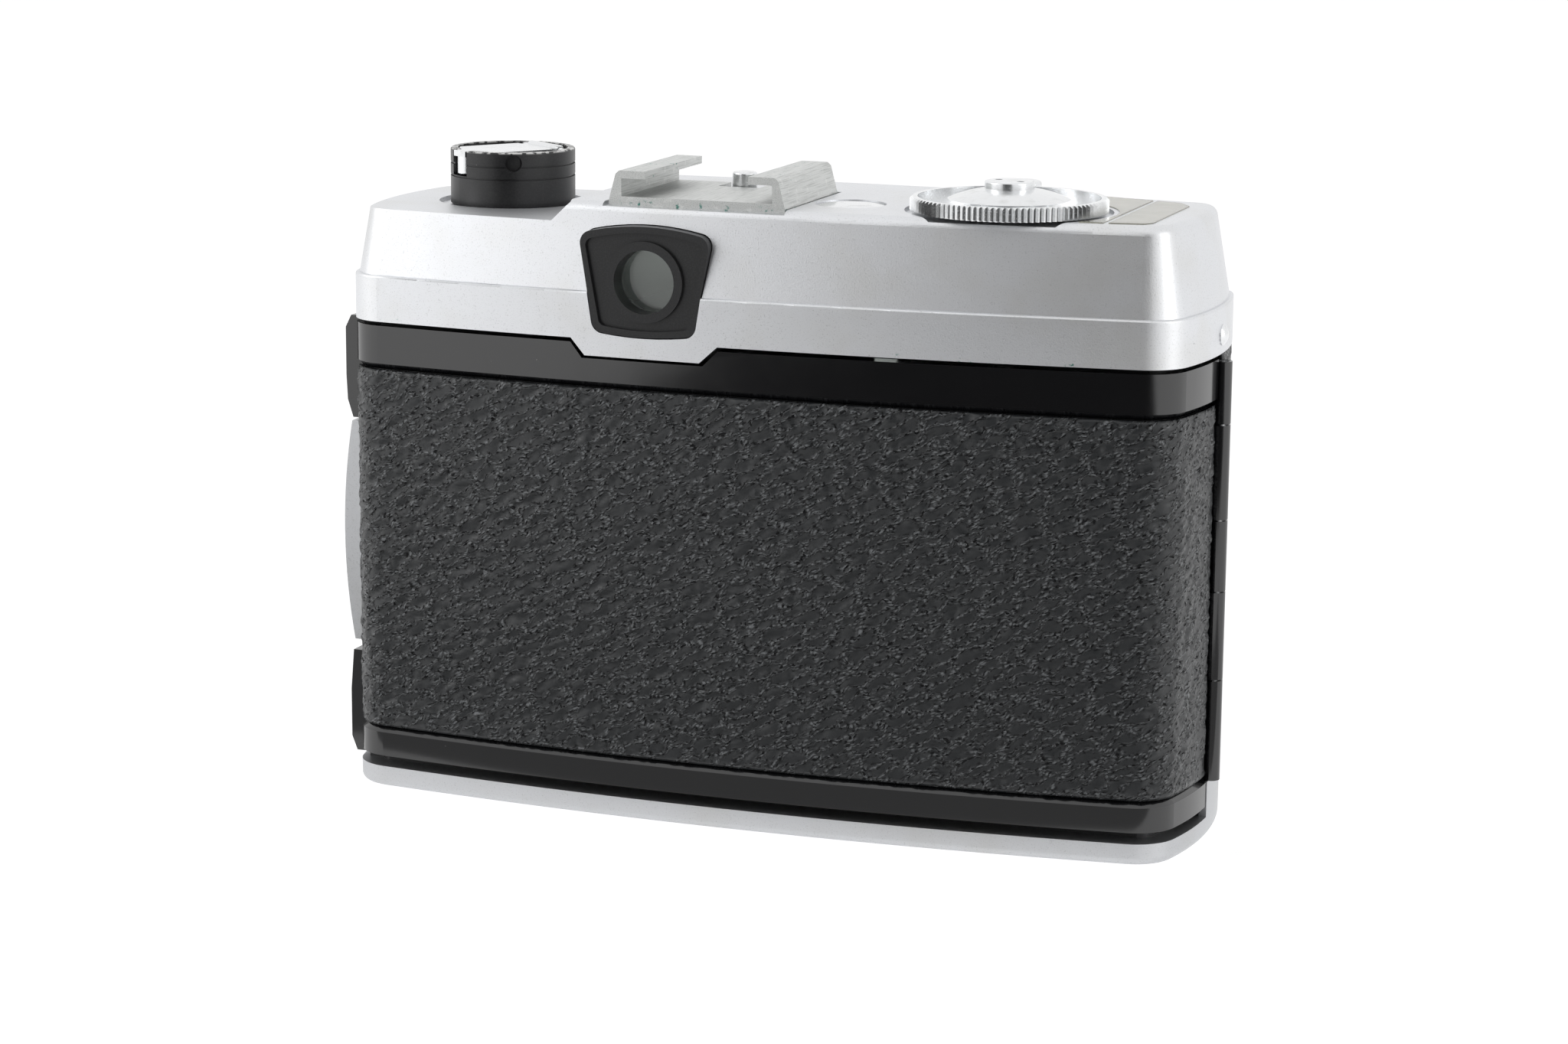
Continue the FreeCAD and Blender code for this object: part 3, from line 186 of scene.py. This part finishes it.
# ---- top cover and base ----------------------------------------------------------------------
# Pressed brass, blasted to a fine grain and satin plated.  The two shells clamp the casting
# between them; the plating has a few pits, and green has crept out where they meet the enamel.
def satin_plate(name, shade):
    grey, warm = (0.74 * shade, 0.75 * shade, 0.77 * shade, 1), (0.68 * shade, 0.68 * shade, 0.67 * shade, 1)
    pit = (0.16, 0.16, 0.15, 1)
    finish = Finish(name, Metallic=1.0)
    grain = finish.noise(0.16 * MM, detail=3.0)
    cloud = finish.noise(9 * MM, shift=3.0)
    pits = finish.specks(2.6 * MM, 0.16 * MM, 0.10)
    colour = finish.blend(cloud.ramp(0.45, 0.75) * 0.5, grey, warm)
    colour = finish.blend(grain.ramp(0.56, 0.76) * 0.35, colour, pit)
    colour = finish.blend(pits * 0.8, colour, pit)
    seam = abs(finish.axis("Z") - 57.9 * MM).ramp(0.55 * MM, 0.1 * MM)
    patches = finish.noise(1.5 * MM, detail=4.0, shift=7.0).ramp(0.655, 0.70)
    colour = finish.blend(seam * patches, colour, VERDIGRIS)
    finish.feed("Base Color", colour)
    finish.feed("Roughness", 0.36 + grain * 0.12 + pits * 0.3)
    finish.relief(grain, 0.03 * MM, 0.5)
    return finish


plate = satin_plate("satin_plate", 1.0)
paint(plate, "top_cover", "lens_mount_ring")
# The base plate, tripod socket and door latch take a copy of the same plating, its colour darkened to 0.74:
# painted shade for these lower and end parts.
paint(satin_plate("painted_shade_satin_plate", 0.74), "base_plate", "tripod_socket", "door_latch")


# ---- small bright parts ----------------------------------------------------------------------
# Turned brass, polished and plated: rivets, screws, pins, buttons, wheel and window rims.
# Handling has dulled them a little and left hairlines.
def bright_plate():
    finish = Finish("bright_plate", Metallic=1.0)
    hairlines = finish.noise(0.25 * MM, (14, 1, 1), shift=1.0)
    dull = finish.noise(1.6 * MM, shift=5.0)
    finish.feed("Base Color", finish.blend(dull.ramp(0.5, 0.8) * 0.4, (0.80, 0.81, 0.82, 1),
                                           (0.55, 0.55, 0.54, 1)))
    finish.feed("Roughness", 0.17 + dull * 0.12 + hairlines.ramp(0.6, 0.75) * 0.1)
    return finish


bright = bright_plate()
paint(bright, "end_rivet_1", "end_rivet_2", "base_screw_1", "base_screw_2", "base_screw_3",
      "shoe_pin", "crank_arm", "crank_grip", "crank_pin", "wheel_cap", "wheel_nut",
      "advance_wheel", "rewind_button", "shutter_button", "shutter_collar",
      "finder_front_bezel", "frame_light_bezel", "hinge_pin", "latch_pin")


# ---- accessory shoe --------------------------------------------------------------------------
# An aluminium extrusion screwed to the top cover.  Die lines run along it, the open ends are
# sawn, and verdigris from the brass below sits in the channels and on the lip ends.
def drawn_aluminium():
    finish = Finish("drawn_aluminium", Metallic=1.0)
    lines = finish.noise(0.12 * MM, (1, 40, 1), detail=3.0)
    chalk = finish.noise(0.9 * MM, shift=2.0)
    crust = finish.noise(0.7 * MM, detail=4.0, shift=9.0)
    height = finish.axis("Z")
    low = height.ramp(74.2 * MM, 73.4 * MM) * crust.ramp(0.60, 0.70)
    lips = height.ramp(76.2 * MM, 76.7 * MM) * crust.ramp(0.66, 0.72)
    colour = finish.blend(lines.ramp(0.45, 0.7) * 0.45, (0.62, 0.63, 0.62, 1), (0.26, 0.27, 0.26, 1))
    colour = finish.blend(chalk.ramp(0.55, 0.75) * 0.30, colour, (0.9, 0.9, 0.88, 1))
    colour = finish.blend(low + lips, colour, VERDIGRIS)
    finish.feed("Base Color", colour)
    finish.feed("Metallic", 1 - (low + lips) * 0.9)
    finish.feed("Roughness", 0.38 + chalk * 0.2)
    finish.relief(lines, 0.03 * MM, 0.5)
    return finish


paint(drawn_aluminium(), "accessory_shoe")


# ---- back door, hinge and latch guards -------------------------------------------------------
# Steel pressings stoved in gloss black.  Dust has settled on the enamel, and handling has left
# fine scratches and worn dots.
def gloss_enamel():
    finish = Finish("gloss_enamel", IOR=1.72)
    dust = finish.specks(2.1 * MM, 0.10 * MM, 0.22)
    scratches = finish.noise(0.10 * MM, (22, 22, 1), shift=4.0).ramp(0.74, 0.80)
    haze = finish.noise(6 * MM, shift=8.0)
    colour = finish.blend(dust * 0.8, (0.007, 0.007, 0.008, 1), (0.32, 0.32, 0.31, 1))
    colour = finish.blend(scratches * 0.2, colour, (0.10, 0.10, 0.10, 1))
    finish.feed("Base Color", colour)
    finish.feed("Roughness", 0.08 + haze * 0.07 + dust * 0.5 + scratches * 0.15)
    finish.relief(haze + dust * 0.1, 0.05 * MM, 0.12)
    return finish


enamel = gloss_enamel()
paint(enamel, "back_door", "latch_guard_upper", "latch_guard_lower", "body_hinge_leaf",
      "door_hinge_leaf")


# ---- black alloy -----------------------------------------------------------------------------
# Machined and die-cast light alloy, dyed satin black: knob, eyepiece, casting and shutter case.
# The dye has rubbed off the knob's top corner, and grit sits in its grooves.
def black_alloy():
    finish = Finish("black_dyed_alloy")
    grain = finish.noise(0.22 * MM, detail=3.0)
    dust = finish.specks(1.3 * MM, 0.09 * MM, 0.25, shift=6.0)
    rub = finish.axis("Z").ramp(77.45 * MM, 77.68 * MM) * finish.noise(0.8 * MM).ramp(0.42, 0.55)
    colour = finish.blend(grain.ramp(0.4, 0.7), (0.013, 0.013, 0.014, 1), (0.022, 0.022, 0.023, 1))
    colour = finish.blend(dust * 0.6, colour, (0.26, 0.26, 0.25, 1))
    colour = finish.blend(rub, colour, (0.62, 0.62, 0.61, 1))
    finish.feed("Base Color", colour)
    finish.feed("Metallic", rub)
    finish.feed("Roughness", 0.30 + grain * 0.14 + dust * 0.3)
    finish.relief(grain, 0.02 * MM, 0.25)
    return finish


alloy_black = black_alloy()
paint(alloy_black, "body_casting", "rewind_knob", "eyepiece_frame", "eyepiece_ring", "finder_tube",
      "shutter_housing", "front_cell", "counter_disc", "shutter_blades")


# ---- lens rings ------------------------------------------------------------------------------
# Turned light alloy with satin plating; the turning marks run round the lens axis.
def turned_alloy():
    finish = Finish("turned_satin_alloy", Metallic=1.0, Base_Color=(0.70, 0.71, 0.72, 1))
    turning = finish.noise(0.15 * MM, (30, 1, 30), detail=3.0)
    finish.feed("Roughness", 0.26 + turning * 0.16)
    finish.relief(turning, 0.015 * MM, 0.3)
    return finish


alloy_satin = turned_alloy()
paint(alloy_satin, "speed_ring", "aperture_ring", "focus_ring", "lens_barrel")


# ---- glass and clear plastic -----------------------------------------------------------------
# The eyepiece and the lens are ground glass with a faint grey-green cast; the two windows in the
# top plate are clear plastic that has yellowed.
def ground_glass():
    finish = Finish("ground_glass", Base_Color=(0.80, 0.86, 0.82, 1), Roughness=0.02, IOR=1.52,
                    Transmission_Weight=0.90)
    film = finish.noise(1.8 * MM, shift=2.0)
    finish.feed("Roughness", 0.02 + film.ramp(0.5, 0.8) * 0.10)
    return finish


def aged_plastic():
    finish = Finish("aged_plastic", Roughness=0.12, IOR=1.49, Transmission_Weight=0.55)
    stain = finish.noise(2.5 * MM, shift=4.0)
    finish.feed("Base Color", finish.blend(stain, (0.92, 0.91, 0.80, 1), (0.76, 0.74, 0.60, 1)))
    finish.feed("Roughness", 0.10 + stain * 0.12)
    return finish


glass = ground_glass()
paint(glass, "eyepiece_lens", "finder_front_window", "frame_light_window", "front_element",
      "rear_element")
paint(aged_plastic(), "counter_window", "scale_window")


# ---- film path and springs -------------------------------------------------------------------
# Black moulded plastic for the spool, black plated steel for the pressure plate, and bare
# spring steel for shafts, springs and blades.
def moulded_black():
    finish = Finish("moulded_black")
    grain = finish.noise(0.3 * MM)
    finish.feed("Base Color", finish.blend(grain, (0.020, 0.020, 0.021, 1), (0.032, 0.032, 0.032, 1)))
    finish.feed("Roughness", 0.34 + grain * 0.2)
    return finish


def bare_steel():
    finish = Finish("bare_steel", Metallic=1.0)
    grain = finish.noise(0.2 * MM, (6, 1, 1))
    finish.feed("Base Color", finish.blend(grain, (0.46, 0.46, 0.47, 1), (0.62, 0.62, 0.62, 1)))
    finish.feed("Roughness", 0.24 + grain * 0.2)
    return finish


paint(moulded_black(), "take_up_spool", "pressure_plate")
paint(bare_steel(), "pressure_spring", "shutter_spring", "aperture_blades", "rewind_shaft",
      "rewind_sleeve", "sprocket")


# ---- leathercloth ----------------------------------------------------------------------------
# Black coated cloth, embossed with a coarse pebble grain that slants up towards the wheel end,
# glued into the recess of the door and round the front of the casting.
COVER_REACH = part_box("top_cover")[1]
FACE_RADIUS, END_RADIUS, CORNER_RADIUS = 385 * MM, 46.6 * MM, 5.4 * MM
FACE_CENTRE = COVER_REACH.y - FACE_RADIUS
END_CENTRE = COVER_REACH.x - END_RADIUS


def plan_walk(inset):
    """Gives a function from distance along the outline to its point and outward direction.

    The distance runs from the middle of the face, positive towards +X, over face, corner and end.
    """
    span = math.hypot(FACE_CENTRE, END_CENTRE)
    far, near = FACE_RADIUS - CORNER_RADIUS, END_RADIUS - CORNER_RADIUS
    along = (far ** 2 - near ** 2 + span ** 2) / (2 * span)
    off = math.sqrt(far ** 2 - along ** 2)
    corner = Vector((END_CENTRE * along - FACE_CENTRE * off,
                     FACE_CENTRE * (span - along) - END_CENTRE * off)) / span
    face_turn = math.atan2(corner.x, corner.y - FACE_CENTRE)
    end_turn = math.atan2(corner.x - END_CENTRE, corner.y)
    radii = [radius - inset for radius in (FACE_RADIUS, CORNER_RADIUS, END_RADIUS)]

    def walk(distance):
        side, rest = math.copysign(1, distance), abs(distance)
        face_length = radii[0] * face_turn
        corner_length = radii[1] * (end_turn - face_turn)
        if rest < face_length:
            turn, centre, radius = rest / radii[0], Vector((0, FACE_CENTRE)), radii[0]
        elif rest < face_length + corner_length:
            turn, centre, radius = face_turn + (rest - face_length) / radii[1], corner, radii[1]
        else:
            turn = end_turn + (rest - face_length - corner_length) / radii[2]
            centre, radius = Vector((END_CENTRE, 0)), radii[2]
        outward = Vector((math.sin(turn), math.cos(turn)))
        point = centre + radius * outward
        return Vector((side * point.x, point.y)), Vector((side * outward.x, outward.y))

    return walk


def reach_of(walk, edge, side):
    """Distance along the outline at which it has come round to edge, measured from the middle."""
    low, high = 0.0, 90 * MM
    for _ in range(40):
        middle = (low + high) / 2
        if walk(side * middle)[0].y > edge:
            low = middle
        else:
            high = middle
    return side * low


GRAIN_SLOPE = math.radians(27)
GRAIN_LENGTH, GRAIN_WIDTH = 2.3 * MM, 1.15 * MM
CREASE_DEPTH = 0.26 * MM


def pebble(distance, height):
    """Height of the embossed grain above its creases, in metres."""
    along = -distance * math.cos(GRAIN_SLOPE) + height * math.sin(GRAIN_SLOPE)
    across = distance * math.sin(GRAIN_SLOPE) + height * math.cos(GRAIN_SLOPE)
    spot = Vector((along / GRAIN_LENGTH, across / GRAIN_WIDTH, 0.0))
    drift = noise.noise_vector(spot * 0.5) * 0.5 + noise.noise_vector(spot * 1.9) * 0.22
    spot = spot + Vector((drift.x, drift.y, 0.0))
    near = noise.voronoi(spot)[0]
    crease = 1 - min(1.0, (near[1] - near[0]) / 0.42)
    pit = min(1.0, max(0.0, 1.6 * noise.noise(spot * 1.3 + Vector((7.0, 3.0, 0.0))) + 0.55))
    fine = noise.voronoi(spot * 2.3 + Vector((4.0, 9.0, 0.0)))[0]
    wrinkle = 1 - min(1.0, (fine[1] - fine[0]) / 0.35)
    bank = 0.16 * math.sin(2 * math.pi * spot.y + 2.0 * noise.noise(spot * 0.8))
    return CREASE_DEPTH * (1 - crease * (0.25 + 0.75 * pit) - 0.16 * wrinkle + bank
                           - 0.2 * near[0])


def leathercloth(name, node, body, inset, edges, turned, pitch, hole=None):
    """A sheet that follows the plan between two edges, raised by the grain, with a rolled rim."""
    low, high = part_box(node)
    walk = plan_walk(inset)
    start, stop = reach_of(walk, edges[0], -1), reach_of(walk, edges[1], 1)
    flip = -1 if turned else 1
    columns, rows = round((stop - start) / pitch), round((high.z - low.z) / pitch)
    sheet = bmesh.new()
    grain = sheet.loops.layers.uv.new("grain")
    bmesh.ops.create_grid(sheet, x_segments=columns, y_segments=rows, size=0.5)
    for face in sheet.faces:
        for corner in face.loops:
            across = start + (corner.vert.co.x + 0.5) * (stop - start)
            height = (corner.vert.co.y + 0.5) * (high.z - low.z)
            corner[grain].uv = (-flip * across / MM, height / MM)
    for vert in sheet.verts:
        distance = start + (vert.co.x + 0.5) * (stop - start)
        height = low.z + (vert.co.y + 0.5) * (high.z - low.z)
        point, outward = walk(distance)
        margin = min(distance - start, stop - distance, height - low.z, high.z - height)
        rolled = min(1.0, margin / (0.5 * MM))
        rise = pebble(distance * flip, height) * rolled - CREASE_DEPTH * (1.15 - 0.35 * rolled)
        spot = point + outward * rise
        vert.co = Vector((spot.x, spot.y * flip, height))
    if hole:
        centre, radius = hole
        inside = [face for face in sheet.faces
                  if abs(face.calc_center_median().y) > 12 * MM
                  and math.hypot(face.calc_center_median().x, face.calc_center_median().z - centre) < radius]
        bmesh.ops.delete(sheet, geom=inside, context="FACES")
    if not turned:
        bmesh.ops.reverse_faces(sheet, faces=sheet.faces)
    mesh = bpy.data.meshes.new(name)
    sheet.to_mesh(mesh)
    sheet.free()
    mesh.shade_smooth()
    piece = bpy.data.objects.new(name, mesh)
    bpy.context.scene.collection.objects.link(piece)
    backing = piece.modifiers.new("backing", "SOLIDIFY")
    backing.thickness, backing.offset = 0.45 * MM, -1
    piece.data.materials.append(leather.material)
    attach(piece, body)
    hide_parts(node)
    return piece


def leather_finish():
    finish = Finish("pebbled_leathercloth", Specular_IOR_Level=0.22, Coat_Roughness=0.34, Coat_IOR=1.5)
    plain = finish.node("ShaderNodeUVMap", {"uv_map": "grain"})
    sway = finish.node("ShaderNodeTexNoise", {"noise_dimensions": "2D"},
                       {"Vector": plain, "Scale": 0.45, "Detail": 3.0}, "Color")
    sway = finish.node("ShaderNodeVectorMath", {"operation": "MULTIPLY"},
                       {0: sway, 1: (1.1, 1.1, 0.0)})
    swayed = finish.node("ShaderNodeVectorMath", {"operation": "ADD"}, {0: plain, 1: sway})
    turned = finish.node("ShaderNodeMapping", {},
                         {"Vector": swayed, "Rotation": (0, 0, -GRAIN_SLOPE)})
    cells = finish.node("ShaderNodeMapping", {}, {"Vector": turned, "Scale": (0.25, 0.80, 1)})
    edge = finish.node("ShaderNodeTexVoronoi", {"voronoi_dimensions": "2D",
                                                "feature": "DISTANCE_TO_EDGE"},
                       {"Vector": cells, "Scale": 1.0}, "Distance")
    folds = finish.node("ShaderNodeMapping", {}, {"Vector": turned, "Scale": (1.6, 3.4, 1)})
    fold = finish.node("ShaderNodeTexVoronoi", {"voronoi_dimensions": "2D"},
                       {"Vector": folds, "Scale": 1.0}, "Distance")
    crumple = finish.node("ShaderNodeTexNoise", {"noise_dimensions": "2D"},
                          {"Vector": folds, "Scale": 1.1, "Detail": 2.0})
    bank = edge.ramp(0.26, 0.03)
    crest_and_painted_highlight = bank * fold.ramp(0.62, 0.22)
    pit = edge.ramp(0.34, 0.12) * crumple.ramp(0.55, 0.66)
    dust = finish.specks(2.3 * MM, 0.09 * MM, 0.10, shift=3.0)
    pores = finish.noise(0.16 * MM, detail=3.0)
    # Painted highlight: the grain crests are coloured a lighter grey, as if they catch the lamps.
    colour = finish.blend(crest_and_painted_highlight, (0.018, 0.020, 0.022, 1), (0.21, 0.22, 0.23, 1))
    # Painted shade: the pits between the pebbles are coloured near-black, as if in shadow.
    colour = finish.blend(pit, colour, (0.004, 0.004, 0.005, 1))
    colour = finish.blend(dust * 0.7, colour, (0.42, 0.40, 0.34, 1))
    finish.feed("Base Color", colour)
    finish.feed("Roughness", 0.42 + pores * 0.16)
    finish.feed("Coat Weight", 0.68 - pit * 0.68)
    finish.relief(crest_and_painted_highlight * 0.8 + bank * 0.25 - pit * 0.9 + pores * 0.12, 0.55 * MM, 1.0)
    return finish


leather = leather_finish()
leathercloth("door_leathercloth", "door_leatherette", "door", 0.02 * MM, (1.25 * MM, 11.75 * MM),
             False, 0.345 * MM)
leathercloth("body_leathercloth", "body_leatherette", "camera_body", 0.05 * MM, (1.95 * MM, 2.05 * MM),
             True, 0.5 * MM, (32.5 * MM, 23.3 * MM))


# ---- studio ----------------------------------------------------------------------------------
# A pale table in a white room, one large soft lamp on each side, and a dark flag in front of the
# wheel end that lets the plating and the enamel fall off to grey and black.
def make_studio():
    world = bpy.data.worlds.new("white_room")
    bpy.context.scene.world = world
    world.use_nodes = True
    tree = world.node_tree
    background = tree.nodes["Background"]
    rays = tree.nodes.new("ShaderNodeLightPath")
    seen = tree.nodes.new("ShaderNodeMath")
    seen.operation = "MAXIMUM"
    tree.links.new(rays.outputs["Is Camera Ray"], seen.inputs[0])
    tree.links.new(rays.outputs["Is Glossy Ray"], seen.inputs[1])
    through = tree.nodes.new("ShaderNodeMath")
    through.operation = "MAXIMUM"
    tree.links.new(seen.outputs[0], through.inputs[0])
    tree.links.new(rays.outputs["Is Transmission Ray"], through.inputs[1])
    level = tree.nodes.new("ShaderNodeMapRange")
    level.inputs["To Min"].default_value = 0.34
    level.inputs["To Max"].default_value = 1.0
    tree.links.new(through.outputs[0], level.inputs["Value"])
    tree.links.new(level.outputs[0], background.inputs["Strength"])
    background.inputs["Color"].default_value = (1, 1, 1, 1)


make_studio()


def make_table():
    """A pale table top that shows white to the viewer and still takes the camera's shadow."""
    top = bmesh.new()
    bmesh.ops.create_grid(top, x_segments=1, y_segments=1, size=6.0)
    mesh = bpy.data.meshes.new("table")
    top.to_mesh(mesh)
    top.free()
    table = bpy.data.objects.new("table", mesh)
    bpy.context.scene.collection.objects.link(table)
    finish = Finish("table_top", Base_Color=(0.86, 0.86, 0.86, 1), Roughness=0.9)
    rays = finish.node("ShaderNodeLightPath", out="Is Camera Ray")
    glossy = finish.node("ShaderNodeLightPath", out="Is Glossy Ray")
    through = finish.node("ShaderNodeLightPath", out="Is Transmission Ray")
    shown = rays.math("MAXIMUM", rays.math("MAXIMUM", rays, glossy), through)
    lift = shown * 0.71
    finish.feed("Emission Strength", lift)
    finish.shader.inputs["Emission Color"].default_value = (1, 1, 1, 1)
    finish.shader.inputs["Specular IOR Level"].default_value = 0.0
    mesh.materials.append(finish.material)


make_table()


def soft_lamp(name, place, aim, size, power):
    light = bpy.data.lights.new(name, "AREA")
    light.shape, light.size, light.size_y, light.energy = "RECTANGLE", size[0], size[1], power
    lamp = bpy.data.objects.new(name, light)
    toward = Vector(aim) - Vector(place)
    lamp.matrix_world = Matrix.Translation(place) @ toward.to_track_quat("-Z", "Y").to_matrix().to_4x4()
    bpy.context.scene.collection.objects.link(lamp)


MIDDLE = (0, 0, 0.04)
soft_lamp("left_softbox", (0.75, 0.42, 0.42), MIDDLE, (0.5, 0.6), 2.25)
soft_lamp("right_softbox", (-0.80, 0.10, 0.28), MIDDLE, (0.35, 0.5), 1.15)


def flag(name, place, turn, size, grey):
    """A card seen only in reflections."""
    card = bmesh.new()
    bmesh.ops.create_grid(card, x_segments=1, y_segments=1, size=0.5)
    bmesh.ops.scale(card, vec=(size[0], size[1], 1), verts=card.verts)
    bmesh.ops.rotate(card, matrix=Matrix.Rotation(turn, 3, "X"), verts=card.verts)
    bmesh.ops.translate(card, vec=place, verts=card.verts)
    mesh = bpy.data.meshes.new(name)
    card.to_mesh(mesh)
    card.free()
    finish = Finish(name, Base_Color=(0, 0, 0, 1), Roughness=1.0, Emission_Color=(grey, grey, grey, 1),
                    Emission_Strength=1.0)
    finish.shader.inputs["Specular IOR Level"].default_value = 0.0
    mesh.materials.append(finish.material)
    panel = bpy.data.objects.new(name, mesh)
    bpy.context.scene.collection.objects.link(panel)
    panel.visible_camera = panel.visible_diffuse = panel.visible_shadow = False
    panel.visible_transmission = False


flag("table_flag", (-0.055, 0.36, 0.001), 0.0, (0.39, 0.36), 0.04)
flag("near_flag", (-0.01, 0.060, 0.001), 0.0, (0.26, 0.068), 0.36)
flag("standing_flag", (-0.085, 0.54, 0.20), math.radians(90), (0.43, 0.42), 0.05)

bpy.context.scene.view_settings.view_transform = "Standard"
